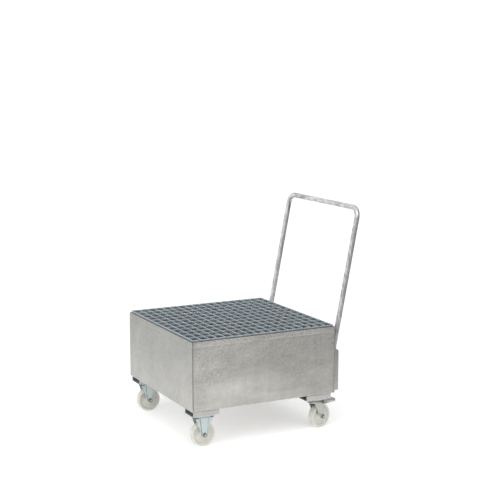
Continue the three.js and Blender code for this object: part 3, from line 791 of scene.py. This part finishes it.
def add_tray():
    piece("sump_shell_sheet", sump_shell(), WORLD, "folded", "tray", "sump_shell", bevel=0.5)
    for end, box, inward in (("front", (FRONT_LOW, FRONT_HIGH), 1), ("rear", (REAR_LOW, REAR_HIGH), -1)):
        name = f"end_wall_{end}"
        piece(f"{name}_sheet", end_wall(*box, inward), WORLD, "sheet", "tray", name, bevel=0.6)
    for where in ("left", "right", "front", "rear"):
        name = f"grating_ledge_{where}"
        piece(f"{name}_angle", ledge(name), WORLD, "sheet", "tray", name, bevel=0.5)


def add_weld(name, *bead):
    piece(name, weld_bead(*bead), WORLD, "weld", "tray", sharp=80)


def add_corner_welds():
    """A bead down each upright corner, and one under each end wall's foot."""
    for end, x in (("front", FRONT_HIGH.x), ("rear", REAR_LOW.x)):
        for side, sign in zip(SIDES, (-1, 1)):
            y = sign * (HALF_WIDTH - 3.1 * BEAD_SINK)
            top, low = (x, y, RIM - 1), (x, y, TRAY_BOTTOM + 1)
            add_weld(f"corner_weld_{end}_{side}", low, top, CORNER_BEAD, f"{end}{side}")
        y, z = HALF_WIDTH - 8, TRAY_BOTTOM + BEAD_SINK
        add_weld(f"foot_weld_{end}", (x, -y, z), (x, y, z), CORNER_BEAD, f"{end}foot")


# ---- grating

BAR = 3.0
CROSS_BAR_HEIGHT = 12.0
CELLS_ALONG, CELLS_ACROSS = 18, 12
ZINC_FILLET = 2.2


def bar_lines(cells, low, high):
    pitch = (high - low - BAR) / cells
    return [low + i * pitch + edge for i in range(cells + 1) for edge in (0, BAR)]


def grating():
    """Full-height bars along Y, shallow ones along X, and zinc fillets in every corner."""
    xs = bar_lines(CELLS_ALONG, GRATING_LOW.x, GRATING_HIGH.x)
    ys = bar_lines(CELLS_ACROSS, GRATING_LOW.y, GRATING_HIGH.y)
    zs = [GRATING_LOW.z, GRATING_HIGH.z - CROSS_BAR_HEIGHT, GRATING_HIGH.z]
    columns, rows = len(xs) - 1, len(ys) - 1
    mesh = bmesh.new()
    corners = {}

    def solid(i, j, k):
        if not (0 <= i < columns and 0 <= j < rows and 0 <= k < 2):
            return False
        return i % 2 == 0 or j in (0, rows - 1) or (k == 1 and j % 2 == 0)

    def corner(i, j, k):
        if (i, j, k) not in corners:
            corners[i, j, k] = mesh.verts.new((xs[i] * MM, ys[j] * MM, zs[k] * MM))
        return corners[i, j, k]

    def side(block, axis, far):
        """One face of a block, seen from outside."""
        loop = []
        for u, v in ((0, 0), (1, 0), (1, 1), (0, 1)):
            at = list(block)
            at[axis] += far
            at[(axis + 1) % 3] += u
            at[(axis + 2) % 3] += v
            loop.append(corner(*at))
        return loop if far else loop[::-1]

    for block in product(range(columns), range(rows), range(2)):
        for axis, far in product(range(3), (0, 1)):
            beside = list(block)
            beside[axis] += 2 * far - 1
            if solid(*block) and not solid(*beside):
                mesh.faces.new(side(block, axis, far))
    upright_edges = [
        e for e in mesh.edges
        if abs(e.verts[0].co.z - e.verts[1].co.z) > MM and e.calc_face_angle(0) > 1.0
    ]
    fillet = ZINC_FILLET * MM
    bmesh.ops.bevel(mesh, geom=upright_edges, offset=fillet, segments=2, affect="EDGES", profile=0.5)
    data = bpy.data.meshes.new("grating_bars")
    mesh.to_mesh(data)
    mesh.free()
    return data


def add_grating():
    dress("grating_bars", grating(), WORLD, "grating", "grating", "grating", bevel=0.3, sharp=50)


# ---- handle and its sockets

TUBE_RADIUS = 13.45
TUBE_WALL = 2.6
KNEE_RADIUS = 90.0
CORNER_RADIUS = 52.0
KNEE_ABOVE_TRAY = 240.0
SOCKET_CORNER = 6.0
SOCKET_INNER_CORNER = 2.5
SOCKET_WALL = 4.0
SOCKET_FOOT = 4.0
DRAIN_RADIUS = 4.0
SOCKET_BEAD = 3.0


def socket_centre(side):
    middle = face_middle(f"handle_socket_{side}") / MM
    return middle.x, middle.y


def push_handle():
    low, high = node_box("push_handle")
    (leg_x, left_y), (_, right_y) = socket_centre("left"), socket_centre("right")
    top_x, top = high.x - TUBE_RADIUS, high.z - TUBE_RADIUS
    rise = [(leg_x, low.z), (leg_x, TRAY_BOTTOM + KNEE_ABOVE_TRAY), (top_x, top)]
    corners = [(x, left_y, z) for x, z in rise] + [(x, right_y, z) for x, z in reversed(rise)]
    radii = [KNEE_RADIUS, CORNER_RADIUS, CORNER_RADIUS, KNEE_RADIUS]
    path = rounded_path(corners, radii, 60, 14)
    return hollow_tube(path, TUBE_RADIUS, TUBE_RADIUS - TUBE_WALL, 40)


def square_ring(size, radius):
    return rounded_rectangle(size, size, radius, 6)


def socket_tube(side):
    low, high = node_box(f"handle_socket_{side}")
    size = high.x - low.x
    foot_top = low.z + SOCKET_FOOT
    bore = square_ring(size - 2 * SOCKET_WALL, SOCKET_INNER_CORNER)
    walls = plate(square_ring(size, SOCKET_CORNER), [bore], foot_top, high.z)
    drain = circle(DRAIN_RADIUS, 24)
    foot = plate(square_ring(size - 1.0, SOCKET_CORNER), [drain], low.z, foot_top - 0.2)
    return moved(joined(walls, foot), (*socket_centre(side), 0))


def add_handle():
    piece("push_handle_tube", push_handle(), WORLD, "tube", "handle", "push_handle", bevel=0.4, sharp=60)
    x = REAR_HIGH.x + 1.0
    for side in SIDES:
        name = f"handle_socket_{side}"
        piece(f"{name}_tube", socket_tube(side), WORLD, "sheet", "tray", name, bevel=0.4, sharp=60)
        low, high = node_box(name)
        runs = ((low.z + 12, low.z + 62), (high.z - 66, high.z - 12))
        for (edge, y), (run, (a, b)) in product((("inner", low.y), ("outer", high.y)), enumerate(runs)):
            weld = f"socket_weld_{side}_{edge}_{run + 1}"
            add_weld(weld, (x, y, a), (x, y, b), SOCKET_BEAD, f"{name}{edge}{run}")


# ---- castor places

PLATE_THICKNESS = 4.0
PLATE_CORNER = 8.0
HOLE_X, HOLE_Y = 40.0, 30.0
FORK_INSIDE = 44.0
FORK_SHEET = 3.5
FORK_MIDDLE = (FORK_INSIDE + FORK_SHEET) / 2
FORK_OUTSIDE = FORK_INSIDE / 2 + FORK_SHEET
RACE_HEIGHT = 10.0
CROWN_TOP = -(PLATE_THICKNESS + RACE_HEIGHT)
CROWN_SHEET = 3.8
SWIVEL_TRAIL = 38.0
BRAKE_PIN = Vector((42.0, 0.0, -27.0))


def swivel_places(side):
    """The plate's frame, and the fork's, turned about the kingpin."""
    top = face_middle(f"swivel_plate_{side}")
    trail = face_middle(f"swivel_wheel_{side}") - top
    place = Matrix.Translation(top)
    return place, place @ Matrix.Rotation(atan2(trail.y, trail.x), 4, "Z")


WHEEL_LOW, WHEEL_HIGH = node_box("fixed_wheel_left")
WHEEL_RADIUS = (WHEEL_HIGH.z - WHEEL_LOW.z) / 2
AXLE_DROP = face_middle("fixed_fork_left").z / MM - WHEEL_RADIUS

# ---- brackets and castor plates

WELD_GAP = 1.8
BRACKET_BEND = 3.5
STITCH_BEAD = 1.7
STITCH_SEED = 40


def bracket_size():
    """A bracket's length, width and height."""
    low, high = node_box("castor_bracket_front_left")
    return high - low


def bracket():
    """A U-channel, legs up, that ends just under the tray."""
    length, width, height = bracket_size()
    middle = SHEET / 2
    y, leg_end = width / 2 - middle, height - WELD_GAP
    corners = [(-y, 0, leg_end), (-y, 0, middle), (y, 0, middle), (y, 0, leg_end)]
    section = rounded_path(corners, BRACKET_BEND, 30, 5)
    grid = [[(x, p.x, p.z) for x in steps(-length / 2, length / 2, 40)] for p in section]
    return thickened(grid, SHEET)


def bracket_stitches(outer_side):
    """Short welds over the legs: one at the outer leg, two at the inner."""
    length, width, height = bracket_size()
    z = height - WELD_GAP / 2
    beads = []
    for side, start, run in ((1, -1, 12.0), (-1, -1, 30.0), (-1, 1, 30.0)):
        x = start * (length / 2 - 1.5)
        y = outer_side * side * (width / 2 - 0.8)
        ends = (x, y, z), (x - start * run, y, z)
        beads.append(weld_bead(*ends, STITCH_BEAD, STITCH_SEED + len(beads)))
    return joined(*beads)


def add_bracket(name, side):
    place = Matrix.Translation(face_middle(name, top=False))
    piece(f"{name}_channel", bracket(), place, "channel", "tray", name, bevel=0.5)
    stitches = bracket_stitches(1 if side == "left" else -1)
    piece(f"{name}_stitches", stitches, place, "weld", "tray")


def slotted_hole(x, y, length=13.0, radius=5.5):
    half = length / 2 - radius
    right = arc_points((x + half, y), radius, -90, 90, 8)
    return right + arc_points((x - half, y), radius, 90, 270, 8)


def castor_plate(*centre_holes):
    low, high = node_box("swivel_plate_left")
    outline = rounded_rectangle(high.x - low.x, high.y - low.y, PLATE_CORNER)
    holes = [slotted_hole(sx * HOLE_X, sy * HOLE_Y) for sx in (-1, 1) for sy in (-1, 1)]
    holes += [circle(radius, 32) for radius in centre_holes]
    return plate(outline, holes, -PLATE_THICKNESS, 0)


# ---- forks

LEG_BEND = 6.0
LEG_END = 15.5
FIXED_LEG = {"middles": (0.0, 0.0), "neck": 27.0, "shoulder": 46.0, "top": -PLATE_THICKNESS / 2}
FIXED_RIB = {"band": 22.0, "depth": 3.4, "wall": 1.4}
SWIVEL_LEG = {"middles": (19.0, SWIVEL_TRAIL), "neck": 30.0, "shoulder": 33.0, "top": CROWN_TOP - 1.9}
SWIVEL_RIB = {"band": 17.0, "depth": 1.2, "wall": 2.0}


def leg_profile(half, band, wall, depth):
    """(x, rise) across a leg: flank, wall of the rib, its top, wall, flank."""
    left = [(x, 0.0) for x in steps(-half, -band - wall, (half - band - wall) / 3.01)]
    left += [(-band - 0.3 * wall, 0.85 * depth), (-band, depth)]
    middle = [(x, depth) for x in steps(-band, band, band / 2)[1:-1]]
    return left + middle + [(-x, rise) for x, rise in reversed(left)]


def fork_leg(sign, middles, neck, shoulder, top, band, depth, wall):
    """A pressed leg: a neck that bends down from the plate, widens to a shoulder and tapers to the axle.

    A broad rib stands out from it by depth. middles are its middle at the top and at the axle;
    neck, shoulder and band, which is the rib's, are half-widths.
    """
    angles = [radians(degrees) for degrees in range(0, 90, 15)]
    levels = [(top - LEG_BEND * (1 - cos(a)), sin(a), cos(a)) for a in angles]
    bend_end = top - LEG_BEND
    levels += [(z, 1.0, 0.0) for z in steps(bend_end, -AXLE_DROP - LEG_END, 2.5)]
    shoulder_low = bend_end - 9
    pairs = []
    for z, normal_y, normal_z in levels:
        fall = max(0.0, min(1.0, (shoulder_low - z) / (shoulder_low + AXLE_DROP)))
        half = neck + (shoulder + (LEG_END - shoulder) * fall - neck) * smooth((bend_end - 1.5 - z) / 8)
        below = -AXLE_DROP - z
        if below > 0:
            half = sqrt(max(LEG_END ** 2 - below ** 2, 0.36))
        narrowing = min(1.0, half / LEG_END)
        rib = narrowing * smooth((bend_end - z + 2) / 6)
        rib_half = (band + (LEG_END - wall - 2.0 - band) * fall) * narrowing
        middle = middles[0] + (middles[1] - middles[0]) * fall
        y = FORK_MIDDLE - LEG_BEND * (1 - normal_y)
        pairs.append([])
        for x, rise in leg_profile(half, rib_half, wall * narrowing, depth):
            out = FORK_SHEET / 2 + rise * rib
            pairs[-1].append([
                (middle + x, sign * (y + away * normal_y), z + away * normal_z)
                for away in (out, out - FORK_SHEET)
            ])
    return closed_sheet(pairs)


def fixed_fork():
    """Plate and ribbed legs pressed from one sheet."""
    return joined(castor_plate(), *[fork_leg(sign, **FIXED_LEG, **FIXED_RIB) for sign in (-1, 1)])


def crown():
    """The fork's top: a round cup under the race running back to a squared tail."""
    half, tail, tail_half = 34.0, 50.0, FORK_OUTSIDE - 1.5
    outline = arc_points((0, 0), half, 48, 312, 22) + [(tail, -tail_half), (tail, tail_half)]
    return plate(outline, [circle(8.0, 32)], CROWN_TOP - CROWN_SHEET, CROWN_TOP)


def crown_skirt():
    """The cup's turned-down rim, round the nose of the crown."""
    rim, top, low = 34, CROWN_TOP - 1.8, CROWN_TOP - 9
    angles = [radians(50 + 260 * k / 40) for k in range(41)]
    rows = []
    for point in rounded_path([(26, 0, top), (rim, 0, top), (rim, 0, low)], 3, 5, 4):
        rows.append([(point.x * cos(a), point.x * sin(a), point.z) for a in angles])
    return thickened(rows, 2.6)


def swivel_fork():
    legs = [fork_leg(sign, **SWIVEL_LEG, **SWIVEL_RIB) for sign in (-1, 1)]
    return joined(crown(), crown_skirt(), *legs)


# ---- wheels, axles and bolts

NUT_FLATS = 19.0
NUT_HEIGHT = 8.0
NUT_CHAMFER = 1.6
HEAD_HEIGHT = 7.5
AXLE_RADIUS = 6.0
AXLE_BORE = 6.4
AXLE_WASHER = 12.5
WASHER_HEIGHT = 2.0
PLATE_BOLT = 5.0
PLATE_BOLT_BORE = 5.4
PLATE_NUT_FLATS = 17.0
PLATE_NUT_CHAMFER = 1.4
PLATE_WASHER = 10.0
PLATE_WASHER_HEIGHT = 1.8


def washer(outer, inner, low, high, edge=0.4):
    rim = [(outer - edge, low), (outer, low + edge), (outer, high - edge), (outer - edge, high)]
    return lathe([(inner, low), *rim, (inner, high)], 40)


def wheel():
    """A cast wheel: rounded tread, dished sides and a hub boss."""
    half, hub_half = 18.5, 21.0
    bore, hub, web = 10.6, 18.5, 9.5
    rim = WHEEL_RADIUS - 11.5
    side = [(bore + 1.0, hub_half), (hub - 1.2, hub_half), (hub, hub_half - 1.2), (hub + 1.4, web + 4.0)]
    side += arc_points((hub + 6.0, web + 4.6), 4.6, 188, 270, 5)
    side += [(rim - 8.0, web + 0.4)]
    side += arc_points((rim - 5.0, web + 5.2), 5.0, 275, 352, 5)
    side += [(rim + 0.4, half - 1.6)]
    side += arc_points((rim + 2.0, half - 1.6), 1.6, 180, 90, 3)
    side += arc_points((WHEEL_RADIUS - 5.0, half - 4.6), 4.6, 90, 10, 7)
    side += [(WHEEL_RADIUS, 6.0), (WHEEL_RADIUS, 0.0)]
    mirror = [(r, -h) for r, h in reversed(side[:-1])]
    return lathe([(bore, hub_half - 1.0)] + side + mirror + [(bore, -hub_half + 1.0)], 96)


def sleeve():
    """The plain steel bearing that the wheel turns on."""
    half = FORK_INSIDE / 2 - 0.3
    return washer(10.0, AXLE_BORE, -half, half)


def axle_bolt(bearing):
    """Hex head on +Y, shank through, thread standing out of the nut on -Y."""
    seat = bearing + WASHER_HEIGHT
    head = hexagon(NUT_FLATS, seat, seat + HEAD_HEIGHT, NUT_CHAMFER)
    shank = lathe([(0, seat), (AXLE_RADIUS, seat), (AXLE_RADIUS, -bearing), (0, -bearing)], 32)
    thread = threaded_end(AXLE_RADIUS, -bearing, -seat - NUT_HEIGHT - 3.0)
    return joined(head, shank, thread)


def axle_nut(bearing):
    seat = -bearing - WASHER_HEIGHT
    return hexagon(NUT_FLATS, seat, seat - NUT_HEIGHT, NUT_CHAMFER)


def plate_bolt():
    """A bolt through plate and channel, with a washer at either end."""
    low = -PLATE_THICKNESS
    head_top = low - PLATE_WASHER_HEIGHT
    washer_low = SHEET + 0.3
    nut_low = washer_low + PLATE_WASHER_HEIGHT
    thread_low = SHEET + 9
    ring = (PLATE_WASHER, PLATE_BOLT_BORE)
    shank = [(0, low - 2), (PLATE_BOLT, low - 2), (PLATE_BOLT, thread_low), (0, thread_low)]
    return upright(joined(
        hexagon(PLATE_NUT_FLATS, head_top, low - NUT_HEIGHT, PLATE_NUT_CHAMFER),
        washer(*ring, head_top, low),
        washer(*ring, washer_low, nut_low),
        hexagon(PLATE_NUT_FLATS, nut_low, nut_low + NUT_HEIGHT, PLATE_NUT_CHAMFER),
        lathe(shank, 24),
        threaded_end(PLATE_BOLT, thread_low, SHEET + 14, 1.5, 0.7),
    ))


def add_plate_bolts(castor, place):
    shape = plate_bolt()
    for k, (sx, sy) in enumerate(((-1, -1), (1, -1), (1, 1), (-1, 1))):
        at = place @ Matrix.Translation((sx * HOLE_X * MM, sy * HOLE_Y * MM, 0))
        piece(f"{castor}_plate_bolt_{k + 1}", shape, at, "steel", "tray", sharp=30)


def add_pieces(side, rows):
    """One piece a row: node, name's ending, shape, place, finish, body and rounding."""
    for node, ending, shape, place, finish, body, rounding in rows:
        piece(f"{node}_{side}_{ending}", shape, place, finish, body, f"{node}_{side}", **rounding)


PRESSED = {"bevel": 0.5, "sharp": 50}
MOULDED = {"bevel": 0.4, "sharp": 50}
TURNED = {}
HEXAGONAL = {"sharp": 30}


def add_wheel_set(kind, side, place, trail, body, bearing):
    """A wheel, its sleeve and its axle, whose washers bear on the legs at +-bearing."""
    axle = place @ Matrix.Translation((trail * MM, 0, -AXLE_DROP * MM))
    add_pieces(side, (
        (f"{kind}_wheel", "nylon", wheel(), axle, "nylon", f"{kind}_wheel_{side}", {"sharp": 50}),
        (f"{kind}_wheel_sleeve", "steel", sleeve(), axle, "steel", body, TURNED),
        (f"{kind}_axle_bolt", "hex", axle_bolt(bearing), axle, "dull", body, HEXAGONAL),
        (f"{kind}_axle_nut", "hex", axle_nut(bearing), axle, "steel", body, HEXAGONAL),
    ))
    for end, low in (("bolt", bearing), ("nut", -bearing - WASHER_HEIGHT)):
        ring = washer(AXLE_WASHER, AXLE_BORE, low, low + WASHER_HEIGHT)
        piece(f"{kind}_axle_washer_{end}_{side}", ring, axle, "zinc", body)


def add_fixed_castor(side):
    place = Matrix.Translation(face_middle(f"fixed_fork_{side}"))
    add_bracket(f"castor_bracket_front_{side}", side)
    add_pieces(side, (("fixed_fork", "pressing", fixed_fork(), place, "zinc", "tray", PRESSED),))
    add_plate_bolts(f"fixed_castor_{side}", place)
    add_wheel_set("fixed", side, place, 0.0, "tray", FORK_OUTSIDE + FIXED_RIB["depth"])


# ---- swivel castor pieces

KINGPIN_HOLE = 9.8
RACE_CLEARANCE = 0.3
PEDAL_START, PEDAL_TIP = 53.5, 134.0
PEDAL_HALF = 29.3
PEDAL_SHEET = 2.5
GRIP_RIBS = (94, 106, 118)
PIN_RADIUS = 4.0
PIN_NECK = 3.2
SHOE_HALF = 14.5
SPRING_HALF = 11.0
SPRING_SHEET = 1.2


def swivel_race():
    """The upper race: a pressed ring under the plate with a dark gap over the crown."""
    top, low = -PLATE_THICKNESS, CROWN_TOP + RACE_CLEARANCE
    profile = [(19, top - 0.2), (31.5, top - 0.2), (33, top - 2)]
    profile += arc_points((29.5, top - 4.4), 3.4, 30, -60, 5)
    return upright(lathe(profile + [(29, low), (20, low), (19, low + 1)], 72))


def kingpin():
    top, low = -0.3, CROWN_TOP - 4.3
    profile = [(0, top), (9.5, top), (6, -PLATE_THICKNESS), (6, low), (11, low), (10.4, low - 1.6)]
    return upright(lathe(profile + [(7.5, low - 3.2), (0, low - 3.6)], 48))


def pedal_top(x):
    """Height of the tread plate's upper face: a gentle fall, then a lip at the tip."""
    t = (x - PEDAL_START) / (PEDAL_TIP - PEDAL_START)
    return -17.8 - 5.0 * t + 2.2 * smooth((t - 0.9) / 0.1)


def pedal_flange(x):
    """How far the side flange hangs below the tread: deep at the pin, shallow at the tip."""
    t = (x - BRAKE_PIN.x) / (PEDAL_TIP - BRAKE_PIN.x)
    return 12.0 + 6.0 * (1 - smooth(t * 1.1))


def brake_pedal():
    """A pressed channel with grip ribs across its tread and cheeks on the pin."""
    rows = []
    for x in steps(PEDAL_START, PEDAL_TIP, 1.6):
        top = pedal_top(x) - PEDAL_SHEET / 2
        low = top - pedal_flange(x)
        ribs = 1.5 * sum(exp(-(((x - at) / 2.6) ** 2)) for at in GRIP_RIBS)
        half = PEDAL_HALF - PEDAL_SHEET / 2 - 5.0 * (1 - smooth((PEDAL_TIP - x) / 6))
        row = []
        for point in even_section([(x, -half, low), (x, -half, top), (x, half, top), (x, half, low)], 3.0):
            row.append((x, point.y, point.z + ribs * smooth((half - 5 - abs(point.y)) / 4)))
        rows.append(row)
    return joined(thickened(rows, PEDAL_SHEET), *[pedal_cheek(sign) for sign in (-1, 1)])


def even_section(corners, radius):
    """A rounded channel section with the same number of points whatever its depth."""
    path = rounded_path(corners, radius, 1000, 5)
    section = [path[0].lerp(path[1], k / 3) for k in range(3)] + path[1:7]
    section += [path[6].lerp(path[7], k / 16) for k in range(1, 16)] + path[7:13]
    return section + [path[12].lerp(path[13], k / 3) for k in range(1, 4)]


def pedal_cheek(sign):
    """The channel's flat ear on the pin, outside the fork leg."""
    outline = arc_points((BRAKE_PIN.x, BRAKE_PIN.z), 8.5, 110, 270, 10)
    outline += [(PEDAL_START + 12, BRAKE_PIN.z - 8.0), (PEDAL_START + 12, -19.2), (PEDAL_START, -18.6)]
    hole = circle(PIN_RADIUS + 0.3, 24, (BRAKE_PIN.x, BRAKE_PIN.z))
    points, faces = plate(outline, [hole], PEDAL_HALF - PEDAL_SHEET, PEDAL_HALF)
    return [(x, sign * y, z) for x, z, y in points], faces


def brake_pin():
    """The pin across the fork, with a mushroom head and a spring clip."""
    half = PEDAL_HALF + 2.0
    groove = [(PIN_RADIUS, half - 2.4), (PIN_NECK, half - 2.2), (PIN_NECK, half - 1.2)]
    profile = [(0, -half - 1.2), (5.2, -half - 1.0), (6.2, -half + 0.4), (PIN_RADIUS, -half + 0.6)]
    profile += groove + [(PIN_RADIUS, half - 1.0), (PIN_RADIUS - 0.4, half), (0, half)]
    clip = washer(6.4, PIN_NECK + 0.2, half - 1.9, half - 1.3)
    return moved(joined(lathe(profile, 32), clip), BRAKE_PIN)


def brake_shoe():
    """A grooved lining block whose underside follows the tread."""
    front, back, top = 58.0, 78.0, -22.8
    outline = [(front, top), (back, top - 1.0)]
    for x in steps(back, front, 1.0):
        groove = 1.2 if int(abs(x - front)) % 5 == 2 else 0.0
        radius = WHEEL_RADIUS + 7.6 + groove
        outline.append((x, -AXLE_DROP + sqrt(radius ** 2 - (x - SWIVEL_TRAIL) ** 2)))
    return prism(outline, -SHOE_HALF, SHOE_HALF)


def brake_spring():
    """A leaf clamped under the crown, bent down towards the pedal."""
    top = CROWN_TOP - 4.9
    path = rounded_path([(14, 0, top), (29, 0, top), (41, 0, top - 3)], 12, 4, 5)
    grid = [[(p.x, y, p.z) for y in steps(-SPRING_HALF, SPRING_HALF, 5.5)] for p in path]
    return thickened(grid, SPRING_SHEET)


def add_swivel_castor(side):
    plate_place, place = swivel_places(side)
    body, brake = f"swivel_{side}", f"brake_{side}"
    add_bracket(f"castor_bracket_rear_{side}", side)
    add_pieces(side, (
        ("swivel_plate", "pressing", castor_plate(KINGPIN_HOLE), plate_place, "dull", "tray", PRESSED),
        ("swivel_race", "ring", swivel_race(), plate_place, "dull", "tray", TURNED),
        ("swivel_kingpin", "rivet", kingpin(), plate_place, "steel", "tray", TURNED),
    ))
    add_plate_bolts(f"swivel_castor_{side}", plate_place)
    add_pieces(side, (
        ("swivel_fork", "pressing", swivel_fork(), place, "dull", body, PRESSED),
        ("brake_pedal", "pressing", brake_pedal(), place, "dull", brake, MOULDED),
        ("brake_shoe", "lining", brake_shoe(), place, "lining", brake, MOULDED),
        ("brake_pin", "rivet", brake_pin(), place, "steel", body, TURNED),
        ("brake_spring", "leaf", brake_spring(), place, "steel", body, TURNED),
    ))
    add_wheel_set("swivel", side, place, SWIVEL_TRAIL, body, FORK_OUTSIDE + SWIVEL_RIB["depth"])


# ---- the whole scene

add_studio()
add_tray()
add_corner_welds()
add_grating()
add_handle()
for castor_side in SIDES:
    add_fixed_castor(castor_side)
    add_swivel_castor(castor_side)
